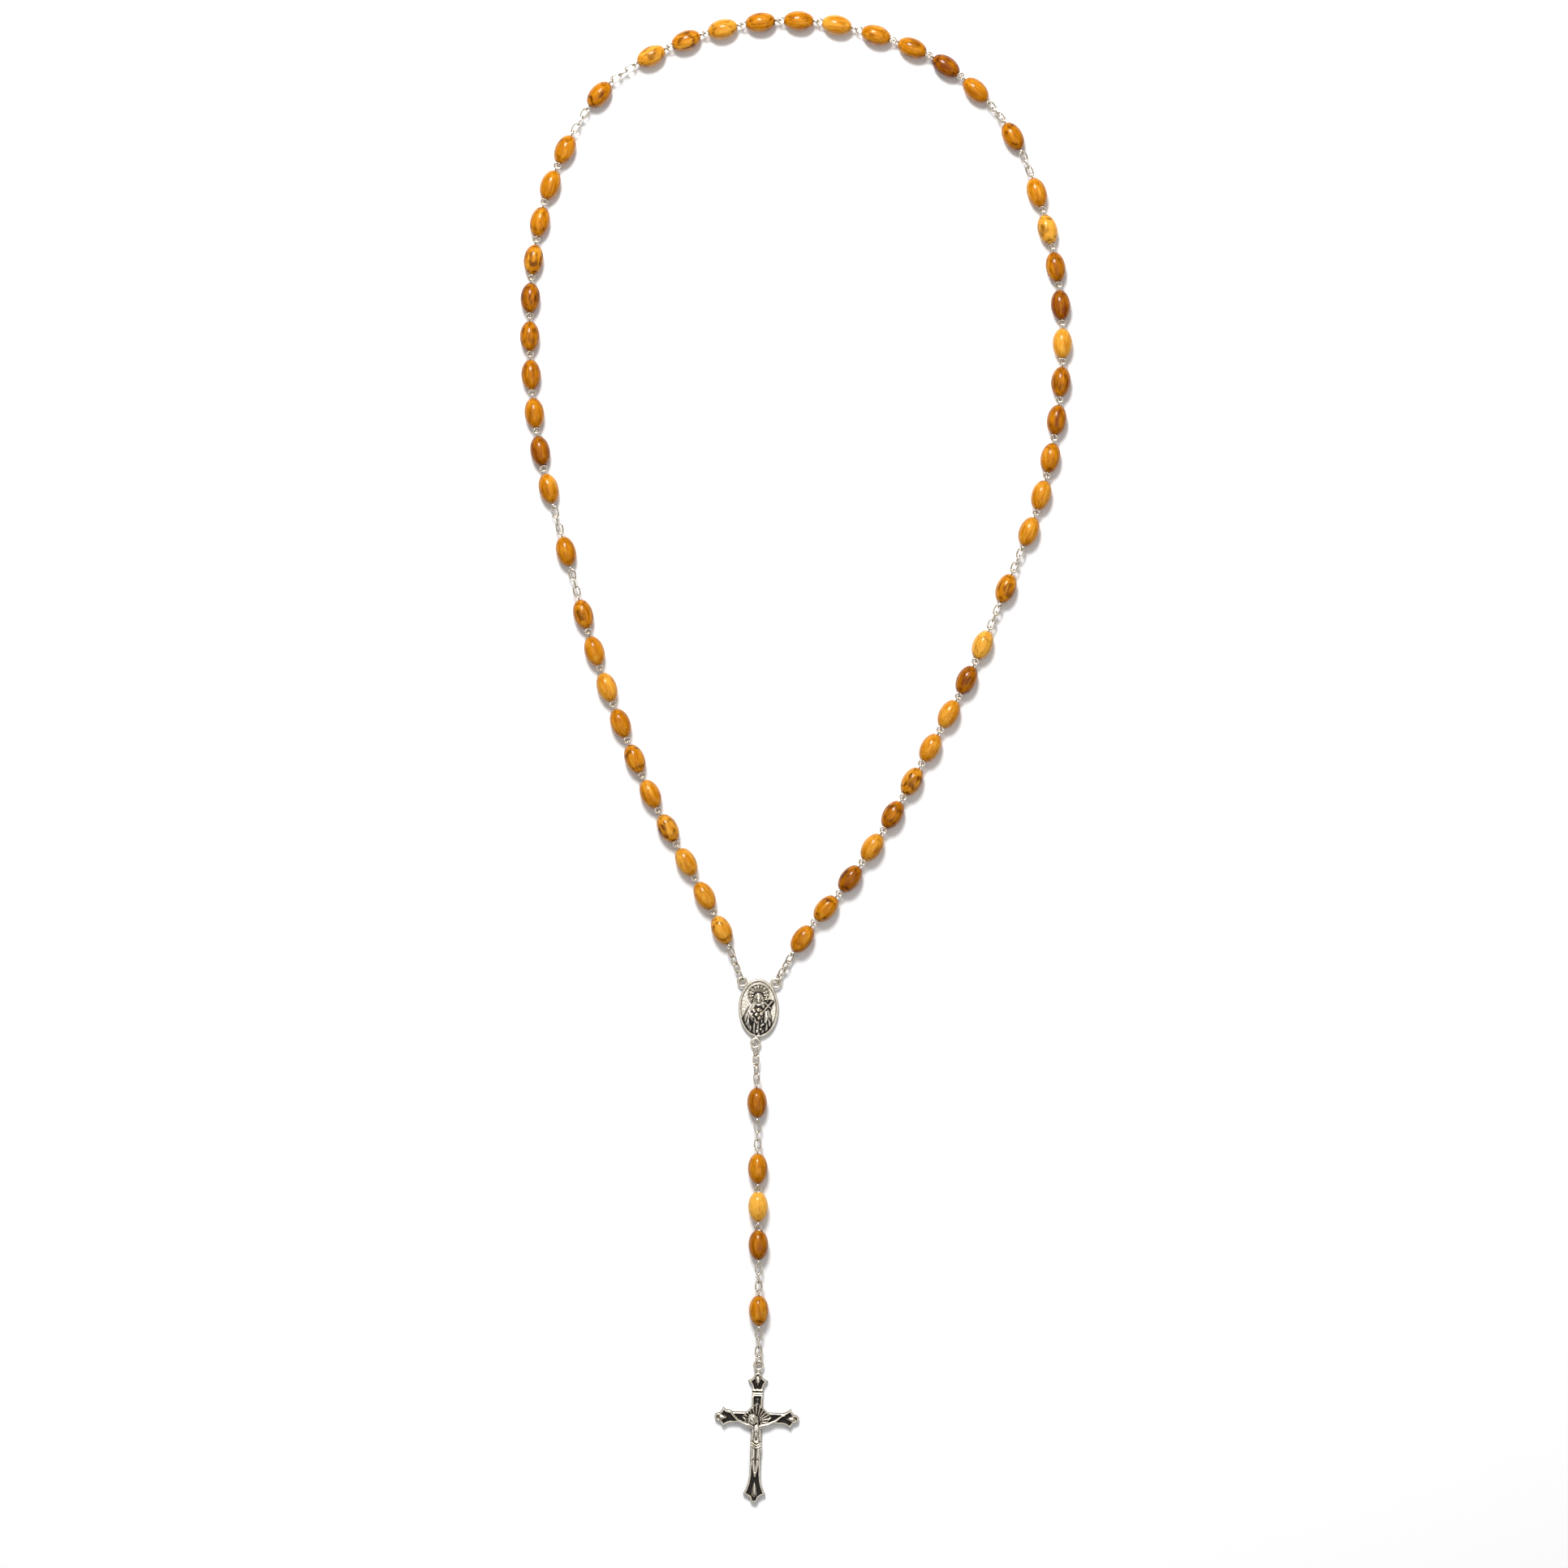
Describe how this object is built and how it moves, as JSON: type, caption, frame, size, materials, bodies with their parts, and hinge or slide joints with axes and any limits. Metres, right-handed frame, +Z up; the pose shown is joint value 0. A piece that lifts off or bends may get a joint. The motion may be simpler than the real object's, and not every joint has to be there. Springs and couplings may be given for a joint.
{
  "type": "rosary",
  "caption": "Chain rosary lying flat: oval wooden beads on linked wire pins, an oval centre medal and a crucifix on a beaded tail.",
  "frame": {"origin": "under the middle of the rosary's box, on the surface it lies on", "axes": "+Y from the crucifix towards the top of the loop, +X to the right seen from above, +Z up"},
  "size_m": [0.1696, 0.4588, 0.0059],
  "materials": {
    "olive_wood": "varnished",
    "chain_silver": "bright wire",
    "antique_silver": "cast, darkened in the recesses"
  },
  "bodies": {
    "centre_medal": {"centre_medal": "antique_silver"},
    "chain_medal_to_decade_1": {"chain_medal_to_decade_1": "chain_silver"},
    "decade_1_beads_1_2": {"decade_1_beads_1_2": "olive_wood"},
    "decade_1_beads_3_4": {"decade_1_beads_3_4": "olive_wood"},
    "decade_1_beads_5_6": {"decade_1_beads_5_6": "olive_wood"},
    "decade_1_beads_7_8": {"decade_1_beads_7_8": "olive_wood"},
    "decade_1_beads_9_10": {"decade_1_beads_9_10": "olive_wood"},
    "chain_decade_1_to_our_father_1": {"chain_decade_1_to_our_father_1": "chain_silver"},
    "our_father_bead_1": {"our_father_bead_1": "olive_wood"},
    "chain_our_father_1_to_decade_2": {"chain_our_father_1_to_decade_2": "chain_silver"},
    "decade_2_beads_1_2": {"decade_2_beads_1_2": "olive_wood"},
    "decade_2_beads_3_4": {"decade_2_beads_3_4": "olive_wood"},
    "decade_2_beads_5_6": {"decade_2_beads_5_6": "olive_wood"},
    "decade_2_beads_7_8": {"decade_2_beads_7_8": "olive_wood"},
    "decade_2_beads_9_10": {"decade_2_beads_9_10": "olive_wood"},
    "chain_decade_2_to_our_father_2": {"chain_decade_2_to_our_father_2": "chain_silver"},
    "our_father_bead_2": {"our_father_bead_2": "olive_wood"},
    "chain_our_father_2_to_decade_3": {"chain_our_father_2_to_decade_3": "chain_silver"},
    "decade_3_beads_1_2": {"decade_3_beads_1_2": "olive_wood"},
    "decade_3_beads_3_4": {"decade_3_beads_3_4": "olive_wood"},
    "decade_3_beads_5_6": {"decade_3_beads_5_6": "olive_wood"},
    "chain_medal_to_decade_5": {"chain_medal_to_decade_5": "chain_silver"},
    "decade_5_beads_9_10": {"decade_5_beads_9_10": "olive_wood"},
    "decade_5_beads_7_8": {"decade_5_beads_7_8": "olive_wood"},
    "decade_5_beads_5_6": {"decade_5_beads_5_6": "olive_wood"},
    "decade_5_beads_3_4": {"decade_5_beads_3_4": "olive_wood"},
    "decade_5_beads_1_2": {"decade_5_beads_1_2": "olive_wood"},
    "chain_decade_5_to_our_father_4": {"chain_decade_5_to_our_father_4": "chain_silver"},
    "our_father_bead_4": {"our_father_bead_4": "olive_wood"},
    "chain_our_father_4_to_decade_4": {"chain_our_father_4_to_decade_4": "chain_silver"},
    "decade_4_beads_9_10": {"decade_4_beads_9_10": "olive_wood"},
    "decade_4_beads_7_8": {"decade_4_beads_7_8": "olive_wood"},
    "decade_4_beads_5_6": {"decade_4_beads_5_6": "olive_wood"},
    "decade_4_beads_3_4": {"decade_4_beads_3_4": "olive_wood"},
    "decade_4_beads_1_2": {"decade_4_beads_1_2": "olive_wood"},
    "chain_decade_4_to_our_father_3": {"chain_decade_4_to_our_father_3": "chain_silver"},
    "our_father_bead_3": {"our_father_bead_3": "olive_wood"},
    "chain_our_father_3_to_decade_3": {"chain_our_father_3_to_decade_3": "chain_silver"},
    "decade_3_beads_9_10": {"decade_3_beads_9_10": "olive_wood"},
    "decade_3_beads_7_8": {"decade_3_beads_7_8": "olive_wood"},
    "chain_medal_to_tail": {"chain_medal_to_tail": "chain_silver"},
    "tail_our_father_upper_pin": {"tail_our_father_upper_pin": "chain_silver"},
    "tail_our_father_upper_bead": {"tail_our_father_upper_bead": "olive_wood"},
    "tail_link_1": {"tail_link_1": "chain_silver"},
    "tail_link_2": {"tail_link_2": "chain_silver"},
    "tail_link_3": {"tail_link_3": "chain_silver"},
    "hail_mary_1_pin": {"hail_mary_1_pin": "chain_silver"},
    "hail_mary_1_bead": {"hail_mary_1_bead": "olive_wood"},
    "hail_mary_2_pin": {"hail_mary_2_pin": "chain_silver"},
    "hail_mary_2_bead": {"hail_mary_2_bead": "olive_wood"},
    "hail_mary_3_pin": {"hail_mary_3_pin": "chain_silver"},
    "hail_mary_3_bead": {"hail_mary_3_bead": "olive_wood"},
    "tail_link_4": {"tail_link_4": "chain_silver"},
    "tail_link_5": {"tail_link_5": "chain_silver"},
    "tail_link_6": {"tail_link_6": "chain_silver"},
    "tail_our_father_lower_pin": {"tail_our_father_lower_pin": "chain_silver"},
    "tail_our_father_lower_bead": {"tail_our_father_lower_bead": "olive_wood"},
    "chain_to_cross": {"chain_to_cross": "chain_silver"},
    "cross_jump_ring": {"cross_jump_ring": "chain_silver"},
    "crucifix": {"crucifix": "antique_silver"}
  },
  "joints": [
    {"name": "chain_medal_to_tail_swing", "type": "hinge", "parent": "centre_medal", "child": "chain_medal_to_tail", "pos_m": [-0.01242, -0.08924, 0.00176], "axis": [-0.9996, -0.0277, 0], "range_deg": [-60, 60]},
    {"name": "tail_our_father_upper_pin_swing", "type": "hinge", "parent": "chain_medal_to_tail", "child": "tail_our_father_upper_pin", "pos_m": [-0.01212, -0.09953, 0.00301], "axis": [0, 0, 1], "range_deg": [-60, 60]},
    {"name": "tail_our_father_upper_bead_spin", "type": "hinge", "parent": "tail_our_father_upper_pin", "child": "tail_our_father_upper_bead", "pos_m": [-0.01199, -0.10623, 0.00305], "axis": [0.0191, -0.9998, 0], "continuous": true},
    {"name": "tail_link_1_swing", "type": "hinge", "parent": "tail_our_father_upper_pin", "child": "tail_link_1", "pos_m": [-0.01187, -0.11279, 0.00305], "axis": [0, 0, -1], "range_deg": [-60, 60]},
    {"name": "tail_link_2_swing", "type": "hinge", "parent": "tail_link_1", "child": "tail_link_2", "pos_m": [-0.01184, -0.11555, 0.00305], "axis": [0.9999, 0.0103, 0], "range_deg": [-60, 60]},
    {"name": "tail_link_3_swing", "type": "hinge", "parent": "tail_link_2", "child": "tail_link_3", "pos_m": [-0.01181, -0.11831, 0.00305], "axis": [0, 0, 1], "range_deg": [-60, 60]},
    {"name": "hail_mary_1_pin_swing", "type": "hinge", "parent": "tail_link_3", "child": "hail_mary_1_pin", "pos_m": [-0.01179, -0.12107, 0.00305], "axis": [-1, -0.0074, 0], "range_deg": [-60, 60]},
    {"name": "hail_mary_1_bead_spin", "type": "hinge", "parent": "hail_mary_1_pin", "child": "hail_mary_1_bead", "pos_m": [-0.01175, -0.12647, 0.00305], "axis": [0.0074, -1, 0], "continuous": true},
    {"name": "hail_mary_2_pin_swing", "type": "hinge", "parent": "hail_mary_1_pin", "child": "hail_mary_2_pin", "pos_m": [-0.0117, -0.1328, 0.00305], "axis": [0, 0, -1], "range_deg": [-60, 60]},
    {"name": "hail_mary_2_bead_spin", "type": "hinge", "parent": "hail_mary_2_pin", "child": "hail_mary_2_bead", "pos_m": [-0.01166, -0.1382, 0.00305], "axis": [0.0075, -1, 0], "continuous": true},
    {"name": "hail_mary_3_pin_swing", "type": "hinge", "parent": "hail_mary_2_pin", "child": "hail_mary_3_pin", "pos_m": [-0.01162, -0.1436, 0.00305], "axis": [1, 0.0079, 0], "range_deg": [-60, 60]},
    {"name": "hail_mary_3_bead_spin", "type": "hinge", "parent": "hail_mary_3_pin", "child": "hail_mary_3_bead", "pos_m": [-0.01157, -0.14993, 0.00305], "axis": [0.0079, -1, 0], "continuous": true},
    {"name": "tail_link_4_swing", "type": "hinge", "parent": "hail_mary_3_pin", "child": "tail_link_4", "pos_m": [-0.01152, -0.15649, 0.00305], "axis": [0, 0, 1], "range_deg": [-60, 60]},
    {"name": "tail_link_5_swing", "type": "hinge", "parent": "tail_link_4", "child": "tail_link_5", "pos_m": [-0.0115, -0.15925, 0.00305], "axis": [-1, -0.0061, 0], "range_deg": [-60, 60]},
    {"name": "tail_link_6_swing", "type": "hinge", "parent": "tail_link_5", "child": "tail_link_6", "pos_m": [-0.01148, -0.16201, 0.00305], "axis": [0, 0, -1], "range_deg": [-60, 60]},
    {"name": "tail_our_father_lower_pin_swing", "type": "hinge", "parent": "tail_link_6", "child": "tail_our_father_lower_pin", "pos_m": [-0.01147, -0.16477, 0.00305], "axis": [1, 0.0009, 0], "range_deg": [-60, 60]},
    {"name": "tail_our_father_lower_bead_spin", "type": "hinge", "parent": "tail_our_father_lower_pin", "child": "tail_our_father_lower_bead", "pos_m": [-0.01146, -0.17017, 0.00305], "axis": [0.0009, -1, 0], "continuous": true},
    {"name": "chain_to_cross_swing", "type": "hinge", "parent": "tail_our_father_lower_pin", "child": "chain_to_cross", "pos_m": [-0.01146, -0.17687, 0.00305], "axis": [0, 0, 1], "range_deg": [-60, 60]},
    {"name": "cross_jump_ring_swing", "type": "hinge", "parent": "chain_to_cross", "child": "cross_jump_ring", "pos_m": [-0.01152, -0.18562, 0.00224], "axis": [-1, 0.0071, 0], "range_deg": [-60, 60]},
    {"name": "crucifix_swing", "type": "hinge", "parent": "cross_jump_ring", "child": "crucifix", "pos_m": [-0.01153, -0.18712, 0], "axis": [0, 0, 1], "range_deg": [-60, 60]},
    {"name": "chain_medal_to_decade_1_swing", "type": "hinge", "parent": "centre_medal", "child": "chain_medal_to_decade_1", "pos_m": [-0.01703, -0.06782, 0.00176], "axis": [0.9382, 0.346, 0], "range_deg": [-60, 60]},
    {"name": "decade_1_beads_1_2_swing", "type": "hinge", "parent": "chain_medal_to_decade_1", "child": "decade_1_beads_1_2", "pos_m": [-0.02059, -0.0581, 0.00301], "axis": [-0.9106, -0.4133, 0], "range_deg": [-60, 60]},
    {"name": "decade_1_beads_3_4_swing", "type": "hinge", "parent": "decade_1_beads_1_2", "child": "decade_1_beads_3_4", "pos_m": [-0.03069, -0.03788, 0.00305], "axis": [0.879, 0.4768, 0], "range_deg": [-60, 60]},
    {"name": "decade_1_beads_5_6_swing", "type": "hinge", "parent": "decade_1_beads_3_4", "child": "decade_1_beads_5_6", "pos_m": [-0.04199, -0.01711, 0.00305], "axis": [-0.9025, -0.4307, 0], "range_deg": [-60, 60]},
    {"name": "decade_1_beads_7_8_swing", "type": "hinge", "parent": "decade_1_beads_5_6", "child": "decade_1_beads_7_8", "pos_m": [-0.05165, 0.00445, 0.00305], "axis": [0.9322, 0.362, 0], "range_deg": [-60, 60]},
    {"name": "decade_1_beads_9_10_swing", "type": "hinge", "parent": "decade_1_beads_7_8", "child": "decade_1_beads_9_10", "pos_m": [-0.06, 0.02656, 0.00305], "axis": [-0.9513, -0.3083, 0], "range_deg": [-60, 60]},
    {"name": "chain_decade_1_to_our_father_1_swing", "type": "hinge", "parent": "decade_1_beads_9_10", "child": "chain_decade_1_to_our_father_1", "pos_m": [-0.06692, 0.04916, 0.00305], "axis": [0.9649, 0.2626, 0], "range_deg": [-60, 60]},
    {"name": "our_father_bead_1_swing", "type": "hinge", "parent": "chain_decade_1_to_our_father_1", "child": "our_father_bead_1", "pos_m": [-0.06933, 0.05809, 0.00305], "axis": [-0.9654, -0.2608, 0], "range_deg": [-60, 60]},
    {"name": "chain_our_father_1_to_decade_2_swing", "type": "hinge", "parent": "our_father_bead_1", "child": "chain_our_father_1_to_decade_2", "pos_m": [-0.07214, 0.06852, 0.00305], "axis": [0.9622, 0.2725, 0], "range_deg": [-60, 60]},
    {"name": "decade_2_beads_1_2_swing", "type": "hinge", "parent": "chain_our_father_1_to_decade_2", "child": "decade_2_beads_1_2", "pos_m": [-0.07467, 0.07742, 0.00305], "axis": [-0.9668, -0.2556, 0], "range_deg": [-60, 60]},
    {"name": "decade_2_beads_3_4_swing", "type": "hinge", "parent": "decade_2_beads_1_2", "child": "decade_2_beads_3_4", "pos_m": [-0.07968, 0.09946, 0.00305], "axis": [0.9933, 0.1156, 0], "range_deg": [-60, 60]},
    {"name": "decade_2_beads_5_6_swing", "type": "hinge", "parent": "decade_2_beads_3_4", "child": "decade_2_beads_5_6", "pos_m": [-0.08179, 0.12299, 0.00305], "axis": [-0.9999, -0.0106, 0], "range_deg": [-60, 60]},
    {"name": "decade_2_beads_7_8_swing", "type": "hinge", "parent": "decade_2_beads_5_6", "child": "decade_2_beads_7_8", "pos_m": [-0.08146, 0.14662, 0.00305], "axis": [0.9924, -0.1228, 0], "range_deg": [-60, 60]},
    {"name": "decade_2_beads_9_10_swing", "type": "hinge", "parent": "decade_2_beads_7_8", "child": "decade_2_beads_9_10", "pos_m": [-0.07765, 0.16992, 0.00305], "axis": [-0.9416, 0.3367, 0], "range_deg": [-60, 60]},
    {"name": "chain_decade_2_to_our_father_2_swing", "type": "hinge", "parent": "decade_2_beads_9_10", "child": "chain_decade_2_to_our_father_2", "pos_m": [-0.06876, 0.19178, 0.00305], "axis": [0.8754, -0.4835, 0], "range_deg": [-60, 60]},
    {"name": "our_father_bead_2_swing", "type": "hinge", "parent": "chain_decade_2_to_our_father_2", "child": "our_father_bead_2", "pos_m": [-0.06402, 0.19971, 0.00305], "axis": [-0.7523, 0.6588, 0], "range_deg": [-60, 60]},
    {"name": "chain_our_father_2_to_decade_3_swing", "type": "hinge", "parent": "our_father_bead_2", "child": "chain_our_father_2_to_decade_3", "pos_m": [-0.05692, 0.20781, 0.00305], "axis": [0.6206, -0.7841, 0], "range_deg": [-60, 60]},
    {"name": "decade_3_beads_1_2_swing", "type": "hinge", "parent": "chain_our_father_2_to_decade_3", "child": "decade_3_beads_1_2", "pos_m": [-0.0494, 0.21317, 0.00305], "axis": [-0.4526, 0.8917, 0], "range_deg": [-60, 60]},
    {"name": "decade_3_beads_3_4_swing", "type": "hinge", "parent": "decade_3_beads_1_2", "child": "decade_3_beads_3_4", "pos_m": [-0.0278, 0.22268, 0.00305], "axis": [0, 0, 1], "range_deg": [-60, 60]},
    {"name": "decade_3_beads_5_6_swing", "type": "hinge", "parent": "decade_3_beads_3_4", "child": "decade_3_beads_5_6", "pos_m": [-0.00456, 0.22667, 0.00305], "axis": [0, 0, -1], "range_deg": [-60, 60]},
    {"name": "chain_medal_to_decade_5_swing", "type": "hinge", "parent": "centre_medal", "child": "chain_medal_to_decade_5", "pos_m": [-0.0055, -0.06819, 0.00178], "axis": [-0.8699, 0.4933, 0], "range_deg": [-60, 60]},
    {"name": "decade_5_beads_9_10_swing", "type": "hinge", "parent": "chain_medal_to_decade_5", "child": "decade_5_beads_9_10", "pos_m": [-0.00109, -0.0603, 0.00287], "axis": [0.824, -0.5666, 0], "range_deg": [-60, 60]},
    {"name": "decade_5_beads_7_8_swing", "type": "hinge", "parent": "decade_5_beads_9_10", "child": "decade_5_beads_7_8", "pos_m": [0.01271, -0.04243, 0.00305], "axis": [-0.7971, 0.6038, 0], "range_deg": [-60, 60]},
    {"name": "decade_5_beads_5_6_swing", "type": "hinge", "parent": "decade_5_beads_7_8", "child": "decade_5_beads_5_6", "pos_m": [0.02638, -0.02317, 0.00305], "axis": [0.8559, -0.5172, 0], "range_deg": [-60, 60]},
    {"name": "decade_5_beads_3_4_swing", "type": "hinge", "parent": "decade_5_beads_5_6", "child": "decade_5_beads_3_4", "pos_m": [0.03825, -0.00273, 0.00305], "axis": [-0.8779, 0.4788, 0], "range_deg": [-60, 60]},
    {"name": "decade_5_beads_1_2_swing", "type": "hinge", "parent": "decade_5_beads_3_4", "child": "decade_5_beads_1_2", "pos_m": [0.04957, 0.01802, 0.00305], "axis": [0.8987, -0.4387, 0], "range_deg": [-60, 60]},
    {"name": "chain_decade_5_to_our_father_4_swing", "type": "hinge", "parent": "decade_5_beads_1_2", "child": "chain_decade_5_to_our_father_4", "pos_m": [0.05949, 0.03946, 0.00305], "axis": [-0.9241, 0.3822, 0], "range_deg": [-60, 60]},
    {"name": "our_father_bead_4_swing", "type": "hinge", "parent": "chain_decade_5_to_our_father_4", "child": "our_father_bead_4", "pos_m": [0.06255, 0.04691, 0.00305], "axis": [0.928, -0.3726, 0], "range_deg": [-60, 60]},
    {"name": "chain_our_father_4_to_decade_4_swing", "type": "hinge", "parent": "our_father_bead_4", "child": "chain_our_father_4_to_decade_4", "pos_m": [0.06657, 0.05694, 0.00305], "axis": [-0.9243, 0.3816, 0], "range_deg": [-60, 60]},
    {"name": "decade_4_beads_9_10_swing", "type": "hinge", "parent": "chain_our_father_4_to_decade_4", "child": "decade_4_beads_9_10", "pos_m": [0.06964, 0.06438, 0.00305], "axis": [0.9324, -0.3615, 0], "range_deg": [-60, 60]},
    {"name": "decade_4_beads_7_8_swing", "type": "hinge", "parent": "decade_4_beads_9_10", "child": "decade_4_beads_7_8", "pos_m": [0.07692, 0.08577, 0.00305], "axis": [-0.9807, 0.1957, 0], "range_deg": [-60, 60]},
    {"name": "decade_4_beads_5_6_swing", "type": "hinge", "parent": "decade_4_beads_7_8", "child": "decade_4_beads_5_6", "pos_m": [0.08091, 0.10905, 0.00305], "axis": [0.9969, -0.0784, 0], "range_deg": [-60, 60]},
    {"name": "decade_4_beads_3_4_swing", "type": "hinge", "parent": "decade_4_beads_5_6", "child": "decade_4_beads_3_4", "pos_m": [0.08188, 0.13265, 0.00305], "axis": [-0.996, -0.0892, 0], "range_deg": [-60, 60]},
    {"name": "decade_4_beads_1_2_swing", "type": "hinge", "parent": "decade_4_beads_3_4", "child": "decade_4_beads_1_2", "pos_m": [0.07891, 0.15607, 0.00305], "axis": [0.9673, 0.2537, 0], "range_deg": [-60, 60]},
    {"name": "chain_decade_4_to_our_father_3_swing", "type": "hinge", "parent": "decade_4_beads_1_2", "child": "chain_decade_4_to_our_father_3", "pos_m": [0.07241, 0.17879, 0.00305], "axis": [-0.937, -0.3492, 0], "range_deg": [-60, 60]},
    {"name": "our_father_bead_3_swing", "type": "hinge", "parent": "chain_decade_4_to_our_father_3", "child": "our_father_bead_3", "pos_m": [0.0694, 0.18625, 0.00305], "axis": [0.8623, 0.5065, 0], "range_deg": [-60, 60]},
    {"name": "chain_our_father_3_to_decade_3_swing", "type": "hinge", "parent": "our_father_bead_3", "child": "chain_our_father_3_to_decade_3", "pos_m": [0.06394, 0.19555, 0.00305], "axis": [-0.7949, -0.6067, 0], "range_deg": [-60, 60]},
    {"name": "decade_3_beads_9_10_swing", "type": "hinge", "parent": "chain_our_father_3_to_decade_3", "child": "decade_3_beads_9_10", "pos_m": [0.0598, 0.20069, 0.00305], "axis": [0, 0, -1], "range_deg": [-60, 60]},
    {"name": "decade_3_beads_7_8_swing", "type": "hinge", "parent": "decade_3_beads_9_10", "child": "decade_3_beads_7_8", "pos_m": [0.04072, 0.21605, 0.00305], "axis": [0, 0, 1], "range_deg": [-60, 60]}
  ]
}
